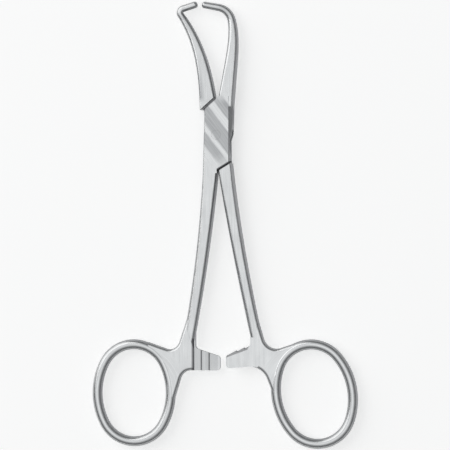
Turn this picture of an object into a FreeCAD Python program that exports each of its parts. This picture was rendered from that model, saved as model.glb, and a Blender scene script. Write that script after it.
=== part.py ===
import FreeCAD, Part
import math
import os
import Sketcher
from FreeCAD import Vector

# A ring-handled vasectomy clamp, lying flat and a little open.
# Y runs along the clamp with the jaws at +Y, X across it, and Z through its thickness.
# The origin is on the pivot axis, in the plane of the lock's lower face.
# The left jaw, the thin tongue and the right handle are one forging; the right jaw,
# the slotted lock box and the left handle are the other.

SIZES = [
    # the main sizes, from the pivot to the jaws' bends and to the middle of the rings
    ("jaw_long", 37.8),
    ("handle_long", 80.95),
    ("ring_apart", 57.75),
    ("rings_over", 1.93),
    ("left_ring_drop", 0.2),
    ("right_ring_drop", -0.17),
    # lock box, seen from above; the step edges rise from the box's corners to the gates
    ("lock_thick", 4.8),
    ("lock_left", 3.7),
    ("lock_left_low", 4.3),
    ("lock_right_high", 5.3),
    ("lock_right_low", 4.18),
    ("lock_edge_round", 0.5),
    ("step_high_y", 8.45),
    ("step_high_slope", 41),
    ("step_low_y", 8.56),
    ("step_low_slope", 31),
    ("gate_high_x", 0.45),
    ("gate_low_x", 0.25),
    ("gate_gap", 0.6),
    ("shoulder_gap", 0.55),
    # the right jaw's flank, which runs out on the side of the lock, and its bevels
    ("flank_x", 4.9),
    ("flank_y", 0.3),
    ("flank_end_x", 4.05),
    ("flank_end_y", -1.9),
    ("flank_bevel_x", 3.95),
    ("flank_bevel_deep", 1.9),
    # tongue and its slot
    ("tongue_thick", 1.6),
    ("slot_play", 0.04),
    ("tongue_radius", 3.2),
    ("tongue_lean", 8),
    ("stop_play", 0.15),
    ("open_angle", 60),
    ("relief_angle", 5),
    ("tongue_grip", 2.2),
    # pivot pin
    ("pin_radius", 1.5),
    ("pin_play", 0.04),
    ("pin_squeeze", 0.01),
    # left jaw: centre line from root to bend, then the bend and the tip arm
    ("left_jaw_root_x", -2.6),
    ("left_jaw_root_y", 7.4),
    ("left_jaw_root_heading", 95),
    ("left_jaw_root_pull", 13),
    ("left_jaw_bend_x", -11.8),
    ("left_jaw_bend_y", "=jaw_long"),
    ("left_jaw_bend_heading", 125),
    ("left_jaw_bend_pull", 10.5),
    ("left_jaw_root_wide", 5.25),
    ("left_jaw_mid_wide", 3.35),
    ("left_jaw_bend_radius", 1.3),
    ("left_jaw_arm_heading", 16.7),
    ("left_jaw_arm_long", 4.85),
    ("left_tip_wide", 2.12),
    # right jaw
    ("right_jaw_root_x", 2.68),
    ("right_jaw_root_y", 9.0),
    ("right_jaw_root_heading", 83.2),
    ("right_jaw_root_pull", 12.4),
    ("right_jaw_bend_x", 4.45),
    ("right_jaw_bend_drop", 1.5),
    ("right_jaw_bend_y", "=jaw_long - right_jaw_bend_drop"),
    ("right_jaw_bend_heading", 106),
    ("right_jaw_bend_pull", 6),
    ("right_jaw_root_wide", 4.65),
    ("right_jaw_mid_wide", 3.4),
    ("right_jaw_bend_wide", 2.55),
    ("right_jaw_bend_radius", 5.2),
    ("right_jaw_arm_heading", 169),
    ("right_jaw_arm_long", 5.5),
    ("right_tip_wide", 2.05),
    ("jaw_mid_thick", 3.6),
    ("jaw_mid_corner", 1.1),
    ("tip_end_round", 0.85),
    # finger rings, measured along the middle of the ring's wire
    ("ring_wire", 3.15),
    ("ring_side_radius", 20.5),
    ("left_ring_x", "=rings_over - ring_apart / 2"),
    ("left_ring_y", "=-handle_long - left_ring_drop"),
    ("left_ring_long", 15.31),
    ("left_ring_short", 11.9),
    ("left_ring_heading", 89.5),
    ("right_ring_x", "=rings_over + ring_apart / 2"),
    ("right_ring_y", "=-handle_long - right_ring_drop"),
    ("right_ring_long", 15.54),
    ("right_ring_short", 12.0),
    ("right_ring_heading", 101),
    # shanks: centre line from lock to web, with the end placed from the ring's centre
    ("left_shank_root_x", -2.05),
    ("left_shank_root_y", -11),
    ("left_shank_mid_x", -4.23),
    ("left_shank_mid_y", "=-0.486 * handle_long"),
    ("left_shank_end_x", 17.3),
    ("left_shank_end_y", 14.15),
    ("right_shank_root_x", 2.35),
    ("right_shank_root_y", -8),
    ("right_shank_mid_x", 5.6),
    ("right_shank_mid_y", "=-0.408 * handle_long"),
    ("right_shank_end_x", -17.5),
    ("right_shank_end_y", 13.78),
    ("shank_root_wide", 4.35),
    ("shank_mid_wide", 3.5),
    ("shank_end_wide", 3.6),
    ("shank_mid_thick", 3.9),
    ("shank_end_thick", 2.6),
    ("shank_mid_corner", 1.3),
    ("shank_end_corner", 1.2),
    # webs between shank and ring, placed from the ring's centre
    ("web_thick", 2.9),
    ("web_edge_round", 1.1),
    ("left_web_start_x", 17.75),
    ("left_web_start_y", 25.15),
    ("left_web_crotch_x", 13.7),
    ("left_web_crotch_y", 13),
    ("left_web_crotch_round", 3.2),
    ("left_web_crown_x", 4.75),
    ("left_web_crown_y", 16.05),
    ("left_web_heel_angle", 105),
    ("left_web_heel_x", 16),
    ("left_web_heel_round", 3.5),
    ("left_web_inner_x", 19.55),
    ("right_web_start_x", -18.25),
    ("right_web_start_y", 24.78),
    ("right_web_crotch_x", -14.75),
    ("right_web_crotch_y", 12.78),
    ("right_web_crotch_round", 4.2),
    ("right_web_crown_x", -5.7),
    ("right_web_crown_y", 15.9),
    ("right_web_heel_angle", 80),
    ("right_web_heel_x", -16.35),
    ("right_web_heel_round", 6),
    ("right_web_inner_x", -20.91),
    # ratchet bars, placed from the ring's centre too
    ("left_bar_end_x", 27.7),
    ("left_bar_low_y", 7.3),
    ("left_bar_end_low_y", 7.3),
    ("left_bar_end_y", 11.75),
    ("left_bar_root_x", 19.84),
    ("left_bar_root_y", 14.25),
    ("right_bar_end_x", -27.8),
    ("right_bar_low_y", 8.33),
    ("right_bar_end_low_y", 7.63),
    ("right_bar_end_y", 12.2),
    ("right_bar_root_x", -20.05),
    ("right_bar_root_y", 15.08),
    ("right_bar_bevel_wide", 1.1),
    ("right_bar_bevel_deep", 1.65),
    ("left_bar_rise_y", 19.2),
    ("right_bar_rise_y", 17.5),
    ("bar_end_round", 1.2),
    ("bar_root_round", 1.4),
    ("tooth_pitch", 2.5),
    ("tooth_deep", 0.75),
    ("tooth_play", 0.05),
    ("tooth_count", 3),
    ("tooth_lead", 0.7),
]

# how many sections carry each tapered form
JAW_STEPS = 4
SHANK_STEPS = 3
BEND_STEPS = 3

# how round a round section's corners are, as a share of its width
ROUND_SHARE = 0.48

# how far the lock block runs past the root of the left shank
LOCK_OVERLAP = 1

# how close two places are to count as one
NEAR = 0.001

MIDDLE = "Sizes.lock_thick/2"

document = FreeCAD.newDocument("clamp")


def make_sheet():
    sheet = document.addObject("Spreadsheet::Sheet", "Sizes")
    for row, (name, number) in enumerate(SIZES, start=1):
        sheet.set("A%d" % row, name)
        sheet.set("B%d" % row, str(number))
        sheet.setAlias("B%d" % row, name)
    document.recompute()
    return sheet


sheet = make_sheet()


# Expressions

def cosine(angle):
    return "cos((%s)*1deg)" % angle


def sine(angle):
    return "sin((%s)*1deg)" % angle


def tangent(angle):
    return "tan((%s)*1deg)" % angle


def curve(points, share):
    """A Bezier curve's value at a share of its way, from the values at its control points."""
    last = len(points) - 1
    terms = []
    for place, point in enumerate(points):
        weight = math.comb(last, place) * share**place * (1 - share)**(last - place)
        terms.append("%.6f*(%s)" % (weight, point))
    return "(" + " + ".join(terms) + ")"


def slope(points, share):
    """The same curve's rate of change there."""
    steps = ["(%s) - (%s)" % (after, before) for before, after in zip(points, points[1:])]
    return curve(steps, share)


# Sketches

def plane(body, role):
    return [item for item in body.Origin.OriginFeatures if item.Role == role][0]


def polygon(body, name, corners, height):
    """A closed outline in a level plane at the given height."""
    sketch = body.newObject("Sketcher::SketchObject", name)
    sketch.AttachmentSupport = [(plane(body, "XY_Plane"), "")]
    sketch.MapMode = "FlatFace"
    sketch.setExpression("AttachmentOffset.Base.z", height)
    join_corners(sketch, corners)
    return sketch


def upright_polygon(body, name, corners, depth):
    """A closed outline in X and Z, in the plane at the given Y."""
    sketch = body.newObject("Sketcher::SketchObject", name)
    sketch.AttachmentSupport = [(plane(body, "XZ_Plane"), "")]
    sketch.MapMode = "FlatFace"
    sketch.setExpression("AttachmentOffset.Base.z", "-(%s)" % depth)
    join_corners(sketch, corners)
    return sketch


def join_corners(sketch, corners):
    count = len(corners)
    turn = 2 * math.pi / count
    start = [Vector(math.cos(turn * i), math.sin(turn * i), 0) for i in range(count)]
    for i in range(count):
        sketch.addGeometry(Part.LineSegment(start[i], start[(i + 1) % count]), False)
    for i in range(count):
        sketch.addConstraint(Sketcher.Constraint("Coincident", i, 2, (i + 1) % count, 1))
    for i, (across, along) in enumerate(corners):
        bind(sketch, Sketcher.Constraint("DistanceX", -1, 1, i, 1, start[i].x), across)
        bind(sketch, Sketcher.Constraint("DistanceY", -1, 1, i, 1, start[i].y), along)


def bind(sketch, constraint, expression):
    index = sketch.addConstraint(constraint)
    sketch.setExpression("Constraints[%d]" % index, expression)


def disc(body, name, radius, height):
    """A circle about the pivot in a level plane."""
    sketch = body.newObject("Sketcher::SketchObject", name)
    sketch.AttachmentSupport = [(plane(body, "XY_Plane"), "")]
    sketch.MapMode = "FlatFace"
    sketch.setExpression("AttachmentOffset.Base.z", height)
    sketch.addGeometry(Part.Circle(Vector(0, 0, 0), Vector(0, 0, 1), 1), False)
    sketch.addConstraint(Sketcher.Constraint("Coincident", 0, 3, -1, 1))
    bind(sketch, Sketcher.Constraint("Radius", 0, 1), radius)
    return sketch


def section(body, name, spot, heading, wide, thick, corner):
    """A rounded rectangle square to the heading, centred on the spot at mid-thickness."""
    sketch = body.newObject("Sketcher::SketchObject", name)
    sketch.AttachmentSupport = [(plane(body, "XZ_Plane"), "")]
    sketch.MapMode = "FlatFace"
    sketch.setExpression(
        "AttachmentOffset",
        "placement(vector(%s; %s; -(%s)); rotation(vector(0; 1; 0); (%s) - 90))"
        % (spot[0], MIDDLE, spot[1], heading))
    half = 1.0
    radius = 0.5
    quarters = [(1, 1), (-1, 1), (-1, -1), (1, -1)]
    for i, (side, top) in enumerate(quarters):
        centre = Vector(side * (half - radius), top * (half - radius), 0)
        circle = Part.Circle(centre, Vector(0, 0, 1), radius)
        sketch.addGeometry(Part.ArcOfCircle(circle, i * math.pi / 2, (i + 1) * math.pi / 2), False)
    for i in range(4):
        line = Part.LineSegment(sketch.getPoint(i, 2), sketch.getPoint((i + 1) % 4, 1))
        sketch.addGeometry(line, False)
    for i in range(4):
        sketch.addConstraint(Sketcher.Constraint("Tangent", i, 2, 4 + i, 1))
        sketch.addConstraint(Sketcher.Constraint("Tangent", 4 + i, 2, (i + 1) % 4, 1))
    for i, (side, top) in enumerate(quarters):
        across = "%d*((%s)/2 - (%s))" % (side, wide, corner)
        upward = "%d*((%s)/2 - (%s))" % (top, thick, corner)
        bind(sketch, Sketcher.Constraint("Radius", i, radius), corner)
        bind(sketch, Sketcher.Constraint("DistanceX", -1, 1, i, 3, side * (half - radius)), across)
        bind(sketch, Sketcher.Constraint("DistanceY", -1, 1, i, 3, top * (half - radius)), upward)
    return sketch


# Features

def body_of(name):
    return document.addObject("PartDesign::Body", name)


def pad(body, name, sketch, length):
    feature = body.newObject("PartDesign::Pad", name)
    feature.Profile = sketch
    feature.setExpression("Length", length)
    document.recompute()
    return feature


def pocket(body, name, sketch, length):
    """Cuts downward from the sketch."""
    feature = body.newObject("PartDesign::Pocket", name)
    feature.Profile = sketch
    feature.setExpression("Length", length)
    document.recompute()
    return feature


def loft(body, name, sections):
    feature = body.newObject("PartDesign::AdditiveLoft", name)
    feature.Profile = sections[0]
    feature.Sections = sections[1:]
    feature.Ruled = len(sections) == 2
    document.recompute()
    return feature


def round_edges(body, name, chosen, radius):
    """Rounds the edges of the body so far that the test picks."""
    base = body.Tip
    names = ["Edge%d" % (i + 1) for i, edge in enumerate(base.Shape.Edges) if chosen(edge)]
    feature = body.newObject("PartDesign::Fillet", name)
    feature.Base = (base, names)
    feature.setExpression("Radius", radius)
    document.recompute()
    return feature


def corner_of(sketch, index):
    """Where a corner of an outline lies, seen from above."""
    return sketch.Geometry[index].StartPoint


def upright_corner(sketch, index):
    """Picks the upright edge over one corner of an outline."""
    corner = corner_of(sketch, index)

    def chosen(edge):
        start = edge.Vertexes[0].Point
        end = edge.Vertexes[-1].Point
        upright = math.hypot(start.x - end.x, start.y - end.y) < NEAR
        return upright and math.hypot(start.x - corner.x, start.y - corner.y) < NEAR
    return chosen


def level_side(sketch, index):
    """Picks the level edges that lie over one side of an outline."""
    start = corner_of(sketch, index)
    end = corner_of(sketch, (index + 1) % sketch.GeometryCount)
    along = (end - start).normalize()

    def chosen(edge):
        if not isinstance(edge.Curve, (Part.Line, Part.LineSegment)):
            return False
        reach = [point.Point - start for point in (edge.Vertexes[0], edge.Vertexes[-1])]
        if abs(reach[0].z - reach[1].z) > NEAR:
            return False
        return all(abs(spot.x * along.y - spot.y * along.x) < NEAR for spot in reach)
    return chosen


def level_arc(radius):
    """Picks the level round edges of a radius."""
    def chosen(edge):
        curve_of_edge = edge.Curve
        if not isinstance(curve_of_edge, Part.Circle):
            return False
        level = math.hypot(curve_of_edge.Axis.x, curve_of_edge.Axis.y) < NEAR
        return level and abs(curve_of_edge.Radius - radius) < NEAR
    return chosen


def any_of(*tests):
    def chosen(edge):
        return any(test(edge) for test in tests)
    return chosen


# Places that both halves share

def line_y(x, angle, distance):
    """The height at x of the line whose nearest point to the pivot lies at an angle and distance."""
    return "(((%s) - %s*(%s))/%s)" % (distance, cosine(angle), x, sine(angle))


def line_x(y, angle, distance):
    return "(((%s) - %s*(%s))/%s)" % (distance, sine(angle), y, cosine(angle))


def step_high(x):
    """The upper step edge of the box's walls, which rises to the right."""
    return "(Sizes.step_high_y + (Sizes.lock_left + (%s))*%s)" % (x, tangent("Sizes.step_high_slope"))


def step_low(x):
    return "(-Sizes.step_low_y - (Sizes.lock_right_low - (%s))*%s)" % (
        x, tangent("Sizes.step_low_slope"))


def shoulder_high(x):
    """The left jaw's shoulder, which stands off the upper step."""
    return "(%s + Sizes.shoulder_gap/%s)" % (step_high(x), cosine("Sizes.step_high_slope"))


def shoulder_low(x):
    return "(%s - Sizes.shoulder_gap/%s)" % (step_low(x), cosine("Sizes.step_low_slope"))


# The lock box

def make_lock():
    body = body_of("lock_box")
    high_gate_y = step_high("Sizes.gate_high_x")
    bottom = "(Sizes.left_shank_root_y - %s)" % LOCK_OVERLAP
    outline = polygon(body, "lock_outline", [
        ("-Sizes.lock_left", "Sizes.step_high_y"),
        ("Sizes.gate_high_x", high_gate_y),
        ("Sizes.lock_right_high", high_gate_y),
        ("Sizes.flank_x", "Sizes.flank_y"),
        ("Sizes.flank_end_x", "Sizes.flank_end_y"),
        ("Sizes.lock_right_low", "-Sizes.step_low_y"),
        ("Sizes.gate_low_x", step_low("Sizes.gate_low_x")),
        ("Sizes.gate_low_x", bottom),
        ("-Sizes.lock_left_low", bottom),
    ], "0")
    pad(body, "lock_block", outline, "Sizes.lock_thick")
    round_edges(body, "lock_left_rounds", level_side(outline, 8), "Sizes.lock_edge_round")
    cut_flank_bevel(body, "high", "Sizes.lock_thick", -1)
    cut_flank_bevel(body, "low", "0", 1)
    cut_slot(body)
    bore = disc(body, "lock_bore_outline", "Sizes.pin_radius", "Sizes.lock_thick")
    pocket(body, "lock_bore", bore, "Sizes.lock_thick")
    return body


def cut_flank_bevel(body, name, face, inward):
    """A straight bevel along the lock's right edge, widest where the jaw's flank stands out."""
    edge = "Sizes.flank_bevel_x"
    foot = "(Sizes.flank_bevel_x + Sizes.flank_bevel_deep)"
    outline = upright_polygon(body, "flank_bevel_%s_outline" % name, [
        (edge, face),
        (foot, face),
        (foot, "%s + %d*Sizes.flank_bevel_deep" % (face, inward)),
    ], "-2*Sizes.step_low_y")
    pocket(body, "flank_bevel_" + name, outline, "2*(Sizes.step_low_y + Sizes.step_high_y)")


def cut_slot(body):
    """The slot between the walls, with a solid web in two opposite corners.

    Each web's inner side is where the tongue's side comes to lie at full opening.
    """
    reach = "(2*Sizes.lock_right_high)"
    far = "(3*Sizes.step_high_y)"
    stop_distance = "(Sizes.tongue_radius + Sizes.stop_play)"
    low_angle = "180 + Sizes.tongue_lean + Sizes.open_angle"
    high_angle = "Sizes.tongue_lean + Sizes.open_angle"
    outline = polygon(body, "slot_outline", [
        ("-" + reach, line_y("-" + reach, low_angle, stop_distance)),
        ("Sizes.gate_low_x", line_y("Sizes.gate_low_x", low_angle, stop_distance)),
        ("Sizes.gate_low_x", "-" + far),
        (reach, "-" + far),
        (reach, line_y(reach, high_angle, stop_distance)),
        ("Sizes.gate_high_x", line_y("Sizes.gate_high_x", high_angle, stop_distance)),
        ("Sizes.gate_high_x", far),
        ("-" + reach, far),
    ], "%s + Sizes.tongue_thick/2 + Sizes.slot_play" % MIDDLE)
    pocket(body, "slot", outline, "Sizes.tongue_thick + 2*Sizes.slot_play")


# The tongue

def make_tongue():
    body = body_of("tongue")
    bottom = "%s - Sizes.tongue_thick/2" % MIDDLE
    hub = disc(body, "tongue_hub_outline", "Sizes.tongue_radius", bottom)
    pad(body, "tongue_hub", hub, "Sizes.tongue_thick")
    radius = "Sizes.tongue_radius"
    lean = "Sizes.tongue_lean"
    relief = "(Sizes.tongue_lean + Sizes.open_angle + Sizes.relief_angle)"
    gate_high = "(Sizes.gate_high_x - Sizes.gate_gap)"
    gate_low = "(Sizes.gate_low_x + Sizes.gate_gap)"
    grip_high = "(%s - Sizes.shoulder_gap)" % gate_high
    grip_low = "(%s + Sizes.shoulder_gap)" % gate_low
    top = "(Sizes.step_high_y + Sizes.tongue_grip)"
    low = "(-Sizes.step_low_y - Sizes.tongue_grip)"
    outline = polygon(body, "tongue_outline", [
        ("-%s*%s" % (radius, cosine(lean)), "-%s*%s" % (radius, sine(lean))),
        (line_x(top, "180 + " + lean, radius), top),
        (grip_high, shoulder_high(grip_high)),
        (gate_high, top),
        (gate_high, line_y(gate_high, relief, radius)),
        ("%s*%s" % (radius, cosine(relief)), "%s*%s" % (radius, sine(relief))),
        ("%s*%s" % (radius, cosine(lean)), "%s*%s" % (radius, sine(lean))),
        (line_x(low, lean, radius), low),
        (grip_low, shoulder_low(grip_low)),
        (gate_low, low),
        (gate_low, line_y(gate_low, "180 + " + relief, radius)),
        ("-%s*%s" % (radius, cosine(relief)), "-%s*%s" % (radius, sine(relief))),
    ], bottom)
    pad(body, "tongue_plate", outline, "Sizes.tongue_thick")
    bore = disc(body, "tongue_bore_outline", "Sizes.pin_radius + Sizes.pin_play",
                "%s + Sizes.tongue_thick/2" % MIDDLE)
    pocket(body, "tongue_bore", bore, "Sizes.tongue_thick")
    return body


def make_pin():
    pin = document.addObject("Part::Cylinder", "pivot_pin")
    pin.Label = "pivot_pin"
    pin.setExpression("Radius", "Sizes.pin_radius + Sizes.pin_squeeze")
    pin.setExpression("Height", "Sizes.lock_thick")
    return pin


# Jaws

def make_jaw(side, bend_wide, turn):
    """A tapered jaw that leaves the lock flat-faced and ends in a round bent tip.

    turn is 1 where the tip bends to the left and -1 where it bends to the right.
    """
    body = body_of(side + "_jaw")
    word = "Sizes.%s_jaw_" % side
    tip_wide = "Sizes.%s_tip_wide" % side
    sections = jaw_shaft_sections(body, word, bend_wide)
    loft(body, side + "_jaw_shaft", sections)
    bend = jaw_bend_sections(body, word, sections[-1], bend_wide, tip_wide, turn)
    loft(body, side + "_jaw_bend", bend)
    spot = bend_spot(word, word + "arm_heading", turn)
    end = (
        "%s + %sarm_long*%s" % (spot[0], word, cosine(word + "arm_heading")),
        "%s + %sarm_long*%s" % (spot[1], word, sine(word + "arm_heading")))
    tip = section(body, side + "_jaw_tip_end", end, word + "arm_heading", tip_wide, tip_wide,
                  "%s*%s" % (ROUND_SHARE, tip_wide))
    document.recompute()
    loft(body, side + "_jaw_arm", [bend[-1], tip])
    round_edges(body, side + "_jaw_tip_round", in_plane_of(tip), "Sizes.tip_end_round")
    return body


def jaw_shaft_sections(body, word, bend_wide):
    root = (word + "root_x", word + "root_y")
    bend = (word + "bend_x", word + "bend_y")
    root_heading = word + "root_heading"
    bend_heading = word + "bend_heading"
    across = [root[0],
              "%s + %sroot_pull*%s" % (root[0], word, cosine(root_heading)),
              "%s - %sbend_pull*%s" % (bend[0], word, cosine(bend_heading)),
              bend[0]]
    along = [root[1],
             "%s + %sroot_pull*%s" % (root[1], word, sine(root_heading)),
             "%s - %sbend_pull*%s" % (bend[1], word, sine(bend_heading)),
             bend[1]]
    sections = []
    for step in range(JAW_STEPS + 1):
        share = step / JAW_STEPS
        heading = "atan2(%s; %s)/1deg" % (slope(along, share), slope(across, share))
        wide = curve([word + "root_wide", word + "mid_wide", bend_wide], share)
        thick = curve(["Sizes.lock_thick", "Sizes.jaw_mid_thick", bend_wide], share)
        corner = curve(["Sizes.lock_edge_round", "Sizes.jaw_mid_corner",
                        "%s*%s" % (ROUND_SHARE, bend_wide)], share)
        spot = (curve(across, share), curve(along, share))
        name = "%s_shaft_%d" % (body.Name, step)
        sections.append(section(body, name, spot, heading, wide, thick, corner))
    document.recompute()
    return sections


def bend_spot(word, heading, turn):
    """A place on the bend's arc, where the jaw runs at a heading."""
    start = word + "bend_heading"
    radius = "%d*%sbend_radius" % (turn, word)
    across = "(%sbend_x + %s*(%s - %s))" % (word, radius, sine(heading), sine(start))
    along = "(%sbend_y + %s*(%s - %s))" % (word, radius, cosine(start), cosine(heading))
    return across, along


def jaw_bend_sections(body, word, first, bend_wide, tip_wide, turn):
    sections = [first]
    for step in range(1, BEND_STEPS + 1):
        share = step / BEND_STEPS
        heading = curve([word + "bend_heading", word + "arm_heading"], share)
        wide = curve([bend_wide, "((%s) + %s)/2" % (bend_wide, tip_wide)], share)
        name = "%s_bend_%d" % (body.Name, step)
        sections.append(section(body, name, bend_spot(word, heading, turn), heading, wide, wide,
                                "%s*(%s)" % (ROUND_SHARE, wide)))
    document.recompute()
    return sections


def in_plane_of(sketch):
    """Picks the edges that lie in a section's plane."""
    spot = sketch.Placement.Base
    square = sketch.Placement.Rotation.multVec(Vector(0, 0, 1))

    def chosen(edge):
        points = [vertex.Point for vertex in edge.Vertexes]
        return all(abs((point - spot).dot(square)) < NEAR for point in points)
    return chosen


def trim_root(body, name, corners):
    """Cuts a root off square through at its shoulder."""
    outline = polygon(body, name + "_outline", corners, "Sizes.lock_thick*2")
    pocket(body, name, outline, "Sizes.lock_thick*3")


def trim_left_jaw(body):
    reach = "(3*Sizes.lock_right_high)"
    trim_root(body, "left_jaw_shoulder", [
        ("-" + reach, shoulder_high("-" + reach)),
        (reach, shoulder_high(reach)),
        (reach, "-" + reach),
        ("-" + reach, "-" + reach)])


def trim_right_shank(body):
    reach = "(3*Sizes.lock_right_high)"
    trim_root(body, "right_shank_shoulder", [
        ("-" + reach, shoulder_low("-" + reach)),
        ("-" + reach, reach),
        (reach, reach),
        (reach, shoulder_low(reach))])


# Shanks, rings and webs

def from_ring(side, name):
    """A named place that is given from the middle of a ring."""
    ring = "Sizes.%s_ring_" % side
    return "(%sx + %s_x)" % (ring, name), "(%sy + %s_y)" % (ring, name)


def make_shank(side):
    body = body_of(side + "_shank")
    word = "Sizes.%s_shank_" % side
    end = from_ring(side, word + "end")
    across = [word + "root_x", word + "mid_x", end[0]]
    along = [word + "root_y", word + "mid_y", end[1]]
    sections = []
    for step in range(SHANK_STEPS + 1):
        share = step / SHANK_STEPS
        heading = "180 + atan2(%s; %s)/1deg" % (slope(along, share), slope(across, share))
        wide = curve(["Sizes.shank_root_wide", "Sizes.shank_mid_wide", "Sizes.shank_end_wide"], share)
        thick = curve(["Sizes.lock_thick", "Sizes.shank_mid_thick", "Sizes.shank_end_thick"], share)
        corner = curve(["Sizes.lock_edge_round", "Sizes.shank_mid_corner",
                        "Sizes.shank_end_corner"], share)
        spot = (curve(across, share), curve(along, share))
        name = "%s_shank_%d" % (side, step)
        sections.append(section(body, name, spot, heading, wide, thick, corner))
    document.recompute()
    loft(body, side + "_shank_loft", sections)
    return body


def make_ring(side):
    """A ring of round wire along an oval of four arcs, which run smoothly into each other."""
    word = "Sizes.%s_ring_" % side
    side_radius = "Sizes.ring_side_radius"
    end_radius = "((2*%s*%sshort - %slong^2 - %sshort^2)/(2*(%s - %slong)))" % (
        side_radius, word, word, word, side_radius, word)
    rise = "(%slong - %s)" % (word, end_radius)
    shift = "(%s - %sshort)" % (side_radius, word)
    side_half = "atan2(%s; %s)/1deg" % (rise, shift)
    end_half = "(90 - %s)" % side_half
    arcs = [(rise, "0", end_radius, end_half, 0),
            ("0", shift, side_radius, side_half, 90),
            ("-" + rise, "0", end_radius, end_half, 180),
            ("0", "-" + shift, side_radius, side_half, 270)]
    return [ring_arc(side, number, *arc) for number, arc in enumerate(arcs, start=1)]


def ring_arc(side, number, up, over, radius, half, facing):
    """One of the ring's arcs: its centre along and across the oval, and the way that it faces."""
    word = "Sizes.%s_ring_" % side
    heading = word + "heading"
    arc = document.addObject("Part::Torus", "%s_ring_arc_%d" % (side, number))
    arc.setExpression("Radius1", radius)
    arc.setExpression("Radius2", "Sizes.ring_wire/2")
    arc.setExpression("Angle3", "2*(%s)" % half)
    across = "%sx + %s*%s + %s*%s" % (word, up, cosine(heading), over, sine(heading))
    along = "%sy + %s*%s - %s*%s" % (word, up, sine(heading), over, cosine(heading))
    start = "%s + %d - (%s)" % (heading, facing, half)
    arc.setExpression("Placement", "placement(vector(%s; %s; %s); rotation(vector(0; 0; 1); %s))"
                      % (across, along, MIDDLE, start))
    return arc


def ring_spot(side, turn, angle, outward="0"):
    """A place on the ring's middle line, at an angle from its top towards the shank."""
    word = "Sizes.%s_ring_" % side
    up = "%slong*%s" % (word, cosine(angle))
    over = "%d*(%sshort + (%s))*%s" % (turn, word, outward, sine(angle))
    heading = word + "heading"
    across = "%sx + %s*%s + %s*%s" % (word, up, cosine(heading), over, sine(heading))
    along = "%sy + %s*%s - %s*%s" % (word, up, sine(heading), over, cosine(heading))
    return across, along


def make_web(side, turn):
    """The flat web that joins shank and ring.

    turn is 1 where the shank is on the ring's right, and -1 where it is on its left.
    """
    body = body_of(side + "_web")
    word = "Sizes.%s_web_" % side
    start = from_ring(side, word + "start")
    shank_end = from_ring(side, "Sizes.%s_shank_end" % side)
    low = "(Sizes.%s_ring_y + Sizes.%s_bar_low_y)" % (side, side)
    inner = "(Sizes.%s_ring_x + %sinner_x)" % (side, word)
    heel_angle = word + "heel_angle"
    heel_side = ring_spot(side, turn, heel_angle, "Sizes.ring_wire/3")
    outline = polygon(body, side + "_web_outline", [
        start,
        from_ring(side, word + "crotch"),
        from_ring(side, word + "crown"),
        ring_spot(side, turn, "25"),
        ring_spot(side, turn, "45"),
        ring_spot(side, turn, "65"),
        ring_spot(side, turn, heel_angle),
        heel_side,
        ("Sizes.%s_ring_x + %sheel_x" % (side, word), low),
        (inner, low),
        (inner, shank_end[1]),
        ("(%s + %s)/2" % (shank_end[0], start[0]), "(%s + %s)/2" % (shank_end[1], start[1])),
    ], "%s - Sizes.web_thick/2" % MIDDLE)
    pad(body, side + "_web_plate", outline, "Sizes.web_thick")
    crotch_round = word + "crotch_round"
    heel_round = word + "heel_round"
    round_edges(body, side + "_web_crotch", upright_corner(outline, 1), crotch_round)
    round_edges(body, side + "_web_heel", upright_corner(outline, 8), heel_round)
    outer = any_of(level_side(outline, 0), level_side(outline, 1), level_side(outline, 7),
                   level_side(outline, 8),
                   level_arc(sheet.get("%s_web_crotch_round" % side)),
                   level_arc(sheet.get("%s_web_heel_round" % side)))
    round_edges(body, side + "_web_rounds", outer, "Sizes.web_edge_round")
    return body


# Ratchet bars

def make_bar(side, turn):
    """A half-thickness bar with saw teeth.

    turn is 1 for the lower bar, which points right with its teeth up, and -1 for the upper
    bar, which points left with its teeth down.
    """
    body = body_of(side + "_bar")
    word = "Sizes.%s_bar_" % side
    crest = "((Sizes.tooth_deep - Sizes.tooth_play)/2)"
    if turn == 1:
        bottom = "%s - Sizes.web_thick/2" % MIDDLE
    else:
        bottom = "%s - %s" % (MIDDLE, crest)
    ring = "Sizes.%s_ring_" % side
    shank_x, shank_y = from_ring(side, "Sizes.%s_shank_end" % side)
    end_x, end_y = from_ring(side, word + "end")
    root_x, root_y = from_ring(side, word + "root")
    low_y = "(%sy + %slow_y)" % (ring, word)
    rise_y = "(%sy + %srise_y)" % (ring, word)
    outline = polygon(body, side + "_bar_outline", [
        (shank_x, low_y),
        ("%sx + Sizes.%s_web_inner_x" % (ring, side), low_y),
        (end_x, "%sy + %send_low_y" % (ring, word)),
        (end_x, end_y),
        (root_x, root_y),
        (root_x, rise_y),
        (shank_x, rise_y),
    ], bottom)
    pad(body, side + "_bar_plate", outline, "Sizes.web_thick/2 + " + crest)
    ends = any_of(upright_corner(outline, 2), upright_corner(outline, 3))
    round_edges(body, side + "_bar_end", ends, "Sizes.bar_end_round")
    round_edges(body, side + "_bar_root", upright_corner(outline, 4), "Sizes.bar_root_round")
    if turn == -1:
        cut_bar_bevel(body, side, word)
    cut_teeth(body, side, turn, word, crest)
    return body


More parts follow.
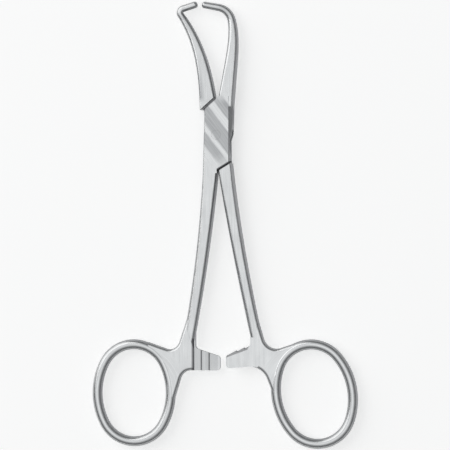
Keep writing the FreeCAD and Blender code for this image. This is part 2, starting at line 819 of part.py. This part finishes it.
def cut_bar_bevel(body, side, word):
    """A steep bevel along the upper bar's inner edge, past which its teeth show from above."""
    end_x, end_y = from_ring(side, word + "end")
    root_x, root_y = from_ring(side, word + "root")
    far = "(%s + 3*Sizes.tooth_pitch)" % root_y
    before = "(%s - Sizes.tooth_pitch)" % end_x
    rise = "((%s - %s)/(%s - %s))" % (root_y, end_y, root_x, end_x)

    def outline(name, inset, height):
        return polygon(body, name, [
            (before, "%s - %s*Sizes.tooth_pitch - (%s)" % (end_y, rise, inset)),
            (root_x, "%s - (%s)" % (root_y, inset)),
            (root_x, far),
            (before, far)], height)
    top = "%s + Sizes.web_thick/2" % MIDDLE
    wide = outline("bar_bevel_top", word + "bevel_wide", top)
    narrow = outline("bar_bevel_foot", "0", "%s - %sbevel_deep" % (top, word))
    document.recompute()
    bevel = body.newObject("PartDesign::SubtractiveLoft", "bar_bevel")
    bevel.Profile = wide
    bevel.Sections = [narrow]
    bevel.Ruled = True
    document.recompute()


def cut_teeth(body, side, turn, word, crest):
    """Saw teeth whose ramps face the other bar and whose steep sides hold against opening."""
    high = "(%s + %d*%s)" % (MIDDLE, turn, crest)
    deep = "(%s - %d*Sizes.tooth_deep)" % (high, turn)
    clear = "(%s + %d*Sizes.tooth_deep)" % (high, turn)
    end = from_ring(side, word + "end")[0]
    lead = "(%s - %d*Sizes.tooth_lead)" % (end, turn)
    corners = [("%s + %d*Sizes.tooth_pitch" % (end, turn), clear),
               ("%s + %d*Sizes.tooth_pitch" % (end, turn), deep),
               (lead, deep)]
    count = int(sheet.get("tooth_count"))
    for tooth in range(1, count + 1):
        peak = "%s - %d*Sizes.tooth_pitch" % (lead, turn * tooth)
        corners.append((peak, high))
        if tooth < count:
            corners.append((peak, deep))
    corners.append((peak, clear))
    start = "Sizes.%s_ring_y + %slow_y - Sizes.tooth_pitch" % (side, word)
    outline = upright_polygon(body, side + "_teeth_outline", corners, start)
    pocket(body, side + "_teeth", outline, "%sroot_y - %slow_y + 3*Sizes.tooth_pitch" % (word, word))


# The three pieces

def join(name, shapes):
    fused = document.addObject("Part::MultiFuse", name)
    fused.Label = name
    fused.Shapes = shapes
    fused.Refine = True
    document.recompute()
    return fused


def make_box_half():
    return join("box_half", [
        make_lock(),
        make_jaw("right", "Sizes.right_jaw_bend_wide", 1),
        make_shank("left"),
        make_web("left", 1),
        make_bar("left", 1),
        *make_ring("left")])


def make_tongue_half():
    jaw = make_jaw("left", "Sizes.left_tip_wide", -1)
    trim_left_jaw(jaw)
    shank = make_shank("right")
    trim_right_shank(shank)
    return join("tongue_half", [
        make_tongue(),
        jaw,
        shank,
        make_web("right", -1),
        make_bar("right", -1),
        *make_ring("right")])


def check(pieces):
    for item in document.Objects:
        if "Invalid" in item.State or "Error" in item.State:
            raise RuntimeError("%s did not build: %s" % (item.Name, item.State))
    for piece in pieces:
        shape = piece.Shape
        if shape.isNull() or not shape.isValid() or len(shape.Solids) != 1:
            raise RuntimeError("%s is not one sound solid" % piece.Label)


def write(pieces):
    os.makedirs("parts", exist_ok=True)
    for piece in pieces:
        piece.Shape.exportStep("parts/%s.step" % piece.Label)
        print(piece.Label, round(piece.Shape.Volume, 1), piece.Shape.BoundBox)


pieces = [make_box_half(), make_tongue_half(), make_pin()]
document.recompute()
check(pieces)
write(pieces)
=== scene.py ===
import bpy
import math
import numpy as np
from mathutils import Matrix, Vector

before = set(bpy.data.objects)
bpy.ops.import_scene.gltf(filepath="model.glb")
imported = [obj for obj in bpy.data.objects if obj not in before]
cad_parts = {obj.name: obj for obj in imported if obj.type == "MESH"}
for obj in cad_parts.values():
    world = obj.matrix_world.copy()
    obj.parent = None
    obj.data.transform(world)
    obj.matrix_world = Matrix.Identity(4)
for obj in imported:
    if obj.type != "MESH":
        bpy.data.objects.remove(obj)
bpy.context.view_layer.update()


# Node wiring

def findSocket(sockets, key):
    # by number, or by identifier, which tells a Mix node's colour sockets from its plain ones
    if isinstance(key, int):
        return sockets[key]
    return next(socket for socket in sockets if socket.identifier == key)


class Wire:
    # one socket in a node tree; arithmetic on wires adds Math nodes
    def __init__(self, tree, socket=None):
        self.tree = tree
        self.socket = socket

    def node(self, kind, settings, inputs):
        # one node in the same tree: its settings come first, then each socket's value or link
        node = self.tree.nodes.new(kind)
        for name, setting in settings.items():
            setattr(node, name, setting)
        for key, given in inputs.items():
            socket = findSocket(node.inputs, key)
            if isinstance(given, Wire):
                self.tree.links.new(given.socket, socket)
            else:
                socket.default_value = given
        return Wire(self.tree, node.outputs[0]) if node.outputs else None

    def out(self, key):
        # another output of the node that this wire comes from
        return Wire(self.tree, findSocket(self.socket.node.outputs, key))

    def math(self, operation, *others):
        return self.node("ShaderNodeMath", {"operation": operation}, dict(enumerate((self, *others))))

    def __add__(self, other):
        return self.math("ADD", other)

    __radd__ = __add__

    def __sub__(self, other):
        return self.math("SUBTRACT", other)

    def __rsub__(self, other):
        return self.node("ShaderNodeMath", {"operation": "SUBTRACT"}, {0: other, 1: self})

    def __mul__(self, other):
        return self.math("MULTIPLY", other)

    __rmul__ = __mul__

    def __pow__(self, other):
        return self.math("POWER", other)

    def __abs__(self):
        return self.math("ABSOLUTE")

    def most(self, other):
        return self.math("MAXIMUM", other)

    def clamp(self):
        return self.node("ShaderNodeClamp", {}, {"Value": self})

    def step(self, low, high):
        # 0 below low, 1 above high and smooth between
        return self.node("ShaderNodeMapRange", {"interpolation_type": "SMOOTHSTEP"},
                         {"Value": self, "From Min": low, "From Max": high})

    def mix(self, first, second):
        # the first colour where this wire is 0, the second where it is 1
        return self.node("ShaderNodeMix", {"data_type": "RGBA"},
                         {"Factor_Float": self, "A_Color": first, "B_Color": second}).out("Result_Color")

    def split(self):
        parts = self.node("ShaderNodeSeparateXYZ", {}, {"Vector": self})
        return [parts.out(name) for name in "XYZ"]

    def joined(self, y, z):
        return self.node("ShaderNodeCombineXYZ", {}, {"X": self, "Y": y, "Z": z})

    def noise(self, scale, detail=2.0, rough=0.5):
        return self.node("ShaderNodeTexNoise", {"noise_dimensions": "3D"},
                         {"Vector": self, "Scale": scale, "Detail": detail, "Roughness": rough})


def newMaterial(name):
    # an empty material, and a wire from which its nodes are added
    material = bpy.data.materials.new(name)
    material.use_nodes = True
    material.node_tree.nodes.clear()
    return material, Wire(material.node_tree)


# Steel. Lengths are in metres, and places are measured from the floor under the pivot

steel = {
    "light": (0.87, 0.88, 0.88, 1),      # ground faces
    "dark": (0.42, 0.43, 0.44, 1),       # brush lines at their deepest, and the grinding passes, painted darker as reflection bands
    "side": (0.34, 0.345, 0.355, 1),     # painted shade on the sides, which are also left rougher
    "root": (0.16, 0.16, 0.17, 1),       # painted shade in the corners at the tooth roots and beside the lock's shoulders
    "tone": 0.16,                        # how far a plain face is from light to dark
    "brushTone": 0.5,
    "cloudTone": 0.3,
    "cloudScale": 170.0,
    "rough": 0.24,
    "roughSpread": 0.10,
    "sideRough": 0.24,
    "rootRough": 0.2,
    "sideCover": 0.9,
    "sideTurn": (0.45, 0.92),            # Z of the normal where a side ends and where a face begins
    "brushAcross": 2200,                 # how fine the lines are across, and how short along
    "brushAlong": 60,
    "reliefStrength": 0.35,
    "reliefDepth": 0.000004,
}


rings = {
    "box_half": (-0.02695, -0.08115),    # the middle of the left ring
    "tongue_half": (0.03081, -0.08078),  # the middle of the right ring
    "arcRadius": 0.013,                  # turns an angle round the ring into a length
    "brushEdge": (0.0165, 0.0185),       # brushed round inside it and straight outside
}


def brushLines(x, y, z, centre):
    # fine lines along the clamp, and round the ring where there is one
    across = steel["brushAcross"]
    along = steel["brushAlong"]
    straight = (x * across).joined(y * along, z * across).noise(1.0, 4.0, 0.7)
    fromX = x - centre[0]
    fromY = y - centre[1]
    radius = (fromX * fromX + fromY * fromY) ** 0.5
    angle = fromX.math("ARCTAN2", fromY)
    arc = angle * (along * rings["arcRadius"])
    turned = (radius * across).joined(arc, z * across).noise(1.0, 4.0, 0.7)
    onRing = 1 - radius.step(*rings["brushEdge"])
    return straight * (1 - onRing) + turned * onRing


lock = {
    "top": (0.0092, 0.0140),             # the ground face fades out over these two stretches
    "foot": (-0.0105, -0.0055),
    "frayScale": 500,
    "fray": 0.003,
    "angle": math.radians(-53),          # the grinding runs at this slant
    "linesAcross": 2600,
    "linesAlong": 90,
    # where the dark grinding passes lie, painted as reflection bands, measured across them from the pivot
    "passesAndReflections": ((-0.0050, -0.0021), (-0.0007, 0.0036), (0.0058, 0.0090)),
    "passEdge": 0.00035,
    "waverScale": 300,
    "waver": 0.0006,
    "tone": 0.03,
    "lineTone": 0.8,
    "passReflectionTone": 0.62,
    "passRough": 0.14,
}


def uneven(x, y, z, scale, reach):
    # wanders to either side of 0 over the faces
    return ((x * scale).joined(y * scale, z).noise(1.0) - 0.5) * reach


def lockLines(x, y, z):
    # the lock's faces are ground across at a slant: fine lines, and broad grinding passes that are
    # rougher and painted darker as reflection bands
    c = math.cos(lock["angle"])
    s = math.sin(lock["angle"])
    along = x * c + y * s
    across = y * c - x * s
    fine = (across * lock["linesAcross"]).joined(along * lock["linesAlong"], z)
    lines = fine.noise(1.0, 2.0, 0.6)
    place = across + uneven(x, y, z, lock["waverScale"], lock["waver"])
    soft = lock["passEdge"]
    passesAndReflections = sum(place.step(low - soft, low + soft) - place.step(high - soft, high + soft)
                 for low, high in lock["passesAndReflections"])
    return lines, passesAndReflections


def lockTone(lines, passesAndReflections):
    # the passes darken the colour as painted reflection bands
    return (lines - 0.5) * lock["lineTone"] + passesAndReflections * lock["passReflectionTone"] + lock["tone"]


def onLock(x, y, z):
    frayed = y + uneven(x, y, z, lock["frayScale"], lock["fray"])
    return (1 - frayed.step(*lock["top"])) * frayed.step(*lock["foot"])


# dark lines of painted shade beside the lock's slanted shoulders
shoulders = {
    "lines": (
        {"from": (-0.0037, 0.00845), "slope": math.radians(41), "between": (-0.0070, -0.0001),
         "wide": 0.0006},
        {"from": (0.00418, -0.00856), "slope": math.radians(31), "between": (0.0003, 0.0070),
         "wide": 0.0005},
    ),
    "core": 0.00012,
    "endFade": 0.0002,
}


def shoulderShadeLine(x, y, line):
    # painted shade: a dark line beside one slanted shoulder of the lock, standing for the shade in its
    # gap
    fromX, fromY = line["from"]
    low, high = line["between"]
    fade = shoulders["endFade"]
    slope = line["slope"]
    away = ((y - fromY) - (x - fromX) * math.tan(slope)) * math.cos(slope)
    here = x.step(low - fade, low) * (1 - x.step(high, high + fade))
    return (1 - abs(away).step(shoulders["core"], line["wide"])) * here


ratchet = {
    # the outer foot of the first tooth, which way the teeth point, and the bar's two edges
    "box_half": {"first": 0.000055, "turn": 1, "low": -0.0745, "high": -0.0640},
    "tongue_half": {"first": 0.003705, "turn": -1, "low": -0.0735, "high": -0.0630},
    "pitch": 0.0025,
    "count": 3,
    "footEdge": 0.00008,
    "fade": 0.0009,                      # how far the painted root shade reaches from the foot
    "barEdge": 0.0005,
    "middle": 0.0024,                    # half the clamp's thickness
    "deepest": (-0.0007, -0.0006),       # the painted root shade begins here, from the middle towards the teeth
}


def toothRootShade(x, y, z, teeth):
    # painted shade: 1 in the corner at the foot of each ratchet tooth
    turn = teeth["turn"]
    feet = [teeth["first"] - turn * tooth * ratchet["pitch"] for tooth in range(1, ratchet["count"] + 1)]
    away = [(foot - x) * turn for foot in feet]
    roots = sum(far.step(-ratchet["footEdge"], 0) * (1 - far.step(0, ratchet["fade"])) for far in away)
    edge = ratchet["barEdge"]
    inBar = y.step(teeth["low"] - edge, teeth["low"]) * (1 - y.step(teeth["high"], teeth["high"] + edge))
    depth = (z - ratchet["middle"]) * turn
    return roots * inBar * depth.step(*ratchet["deepest"])


# where the painted shade patch on the left jaw lies, and how dark it is
jawShade = {
    "low": 0.0100,                       # the patch starts at this height and is full after lowEdge
    "lowEdge": 0.002,
    "outside": -0.0052,                  # the patch's outer edge at its low end
    "lean": -0.16,                       # how far the edge goes sideways for each metre up
    "wide": 0.0024,
    "high": (0.0075, 0.0150),            # it fades out between these heights over its low end
    "right": (-0.002, 0),                # and between these places towards the right jaw
    "tone": 0.95,
    "even": 0.25,
}


def jawShadePatch(x, y, brush):
    # painted shade: a darker patch on the root of the left jaw, along its outer edge
    up = y - jawShade["low"]
    away = x - (jawShade["outside"] + up * jawShade["lean"])
    beside = 1 - away.step(0, jawShade["wide"])
    along = up.step(0, jawShade["lowEdge"]) * (1 - up.step(*jawShade["high"]))
    patch = beside * along * (1 - x.step(*jawShade["right"]))
    return patch * jawShade["tone"] * (brush + jawShade["even"])


def sideways(start):
    # 0 on the ground faces and 1 on the sides, which take painted shade and a rougher finish
    normal = start.node("ShaderNodeTexCoord", {}, {}).out("Normal")
    return 1 - abs(normal.split()[2]).step(*steel["sideTurn"])


def finishSteel(material, colour, rough, relief):
    bump = relief.node("ShaderNodeBump", {}, {
        "Strength": steel["reliefStrength"], "Distance": steel["reliefDepth"], "Height": relief})
    shader = relief.node("ShaderNodeBsdfPrincipled", {}, {
        "Base Color": colour, "Metallic": 1.0, "Roughness": rough.clamp(), "Normal": bump})
    shader.node("ShaderNodeOutputMaterial", {}, {"Surface": shader})
    return material


def makeHalfSteel(name, half):
    material, start = newMaterial(name)
    place = start.node("ShaderNodeTexCoord", {}, {}).out("Object")
    x, y, z = place.split()
    brush = brushLines(x, y, z, rings[half])
    cloud = place.noise(steel["cloudScale"], 3.0)
    side = sideways(start)
    shoulderShade = sum(shoulderShadeLine(x, y, line) for line in shoulders["lines"]).clamp()
    roots = (toothRootShade(x, y, z, ratchet[half]) + shoulderShade).clamp()
    tone = (brush - 0.5) * steel["brushTone"] + (cloud - 0.5) * steel["cloudTone"] + steel["tone"]
    relief = brush
    rough = (cloud - 0.5) * steel["roughSpread"] + steel["rough"]
    if half == "box_half":
        # only this half shows at the lock's faces
        lines, passesAndReflections = lockLines(x, y, z)
        inLock = onLock(x, y, z)
        tone = tone * (1 - inLock) + lockTone(lines, passesAndReflections) * inLock
        relief = brush * (1 - inLock) + lines * inLock
        rough = rough + inLock * passesAndReflections * lock["passRough"]
    else:
        # painted shade on the root of the left jaw
        tone = tone + jawShadePatch(x, y, brush)
    rough = rough + (relief - 0.5) * steel["roughSpread"] + roots * steel["rootRough"]
    face = tone.clamp().mix(steel["light"], steel["dark"])
    # the sides are painted darker, as shade
    withSideShade = (side * steel["sideCover"]).mix(face, steel["side"])
    # the tooth roots and the shoulder lines are painted dark, as shade in their corners
    colour = roots.mix(withSideShade, steel["root"])
    return finishSteel(material, colour, rough + side * steel["sideRough"], relief)


pin = {
    "light": (0.84, 0.85, 0.85, 1),
    "dark": (0.41, 0.42, 0.43, 1),
    "seam": (0.22, 0.22, 0.23, 1),
    "seamCover": 0.7,
    "seamWide": 0.00009,
    "seamRough": 0.2,
    "radius": 0.00151,
    "rough": 0.25,
}


def makePinSteel():
    # the pin's ends are ground flush together with the lock, so only their seam shows
    material, start = newMaterial("pinSteel")
    x, y, z = start.node("ShaderNodeTexCoord", {}, {}).out("Object").split()
    lines, passesAndReflections = lockLines(x, y, z)
    radius = (x * x + y * y) ** 0.5
    seam = radius.step(pin["radius"] - pin["seamWide"], pin["radius"])
    # the pin's ends take the lock's painted reflection bands too
    ground = lockTone(lines, passesAndReflections).clamp().mix(pin["light"], pin["dark"])
    colour = (seam * pin["seamCover"]).mix(ground, pin["seam"])
    rough = (lines - 0.5) * steel["roughSpread"] + passesAndReflections * lock["passRough"]
    rough = rough + seam * pin["seamRough"] + pin["rough"]
    return finishSteel(material, colour, rough, lines)


def dress(name, material):
    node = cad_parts[name]
    node.data.materials.clear()
    node.data.materials.append(material)
    print(name, "dressed")


dress("box_half", makeHalfSteel("boxSteel", "box_half"))
dress("tongue_half", makeHalfSteel("tongueSteel", "tongue_half"))
dress("pivot_pin", makePinSteel())


# Floor, light and camera

floor = {
    "size": 3.0,
    "colour": (0.93, 0.93, 0.92, 1),
    "glow": 0.48,
}


def makeFloor():
    corners = np.array([(-1, -1, 0), (1, -1, 0), (1, 1, 0), (-1, 1, 0)]) * floor["size"] / 2
    mesh = bpy.data.meshes.new("floor")
    mesh.from_pydata(corners.tolist(), [], [(0, 1, 2, 3)])
    plane = bpy.data.objects.new("floor", mesh)
    bpy.context.collection.objects.link(plane)
    material, start = newMaterial("floorPaint")
    diffuse = start.node("ShaderNodeBsdfDiffuse", {}, {"Color": floor["colour"]})
    # the glow whitens the floor where it is seen or mirrored, and lights nothing
    path = start.node("ShaderNodeLightPath", {}, {})
    seen = path.out("Is Camera Ray").most(path.out("Is Glossy Ray")).most(path.out("Is Transmission Ray"))
    glow = start.node("ShaderNodeEmission", {}, {"Color": (1, 1, 1, 1), "Strength": seen * floor["glow"]})
    shader = start.node("ShaderNodeAddShader", {}, {0: diffuse, 1: glow})
    shader.node("ShaderNodeOutputMaterial", {}, {"Surface": shader})
    mesh.materials.append(material)
    print("floor made")


room = {
    "walls": (0.13, 0.133, 0.137, 1),
    "ceiling": (0.96, 0.97, 0.98, 1),
    "ceilingEdge": 5.0,                  # a higher power keeps the pale part nearer to overhead
    "lampPlace": (-1.62, 1.10, 1.30),
    "lampSize": 2.4,
    "lampPower": 17.0,
}


def makeWorld():
    # a room with dark walls and a pale ceiling
    world = bpy.data.worlds.new("studio")
    bpy.context.scene.world = world
    world.use_nodes = True
    world.node_tree.nodes.clear()
    start = Wire(world.node_tree)
    height = start.node("ShaderNodeTexCoord", {}, {}).out("Object").split()[2]
    overhead = height.clamp() ** room["ceilingEdge"]
    light = overhead.mix(room["walls"], room["ceiling"])
    background = start.node("ShaderNodeBackground", {}, {"Color": light, "Strength": 1.0})
    background.node("ShaderNodeOutputWorld", {}, {"Surface": background})
    print("room made")


view = {
    "target": (0.0024, -0.0282, 0.0024),
    "lean": math.radians(12),            # the camera stands a little to the right, so right flanks show
    "frameHeight": 0.141,
    "lens": 200.0,
    "sensor": 36.0,
}


def makeKey():
    # one wide soft panel, up on the left
    lamp = bpy.data.lights.new("key", "AREA")
    lamp.shape = "SQUARE"
    lamp.size = room["lampSize"]
    lamp.energy = room["lampPower"]
    holder = bpy.data.objects.new("key", lamp)
    bpy.context.collection.objects.link(holder)
    holder.location = room["lampPlace"]
    aim = Vector(view["target"]) - Vector(room["lampPlace"])
    holder.rotation_euler = aim.to_track_quat("-Z", "Y").to_euler()
    print("lamp made")


def makeCamera():
    data = bpy.data.cameras.new("camera")
    data.lens = view["lens"]
    data.sensor_width = view["sensor"]
    camera = bpy.data.objects.new("camera", data)
    bpy.context.collection.objects.link(camera)
    away = view["frameHeight"] * view["lens"] / view["sensor"]
    back = Vector((math.sin(view["lean"]), 0, math.cos(view["lean"])))
    camera.location = Vector(view["target"]) + back * away
    camera.rotation_euler = (0, view["lean"], 0)
    data.clip_start = away * 0.01
    data.clip_end = away * 100
    bpy.context.scene.camera = camera
    print("camera made")


makeFloor()
makeWorld()
makeKey()
makeCamera()
bpy.context.scene.view_settings.view_transform = "Standard"
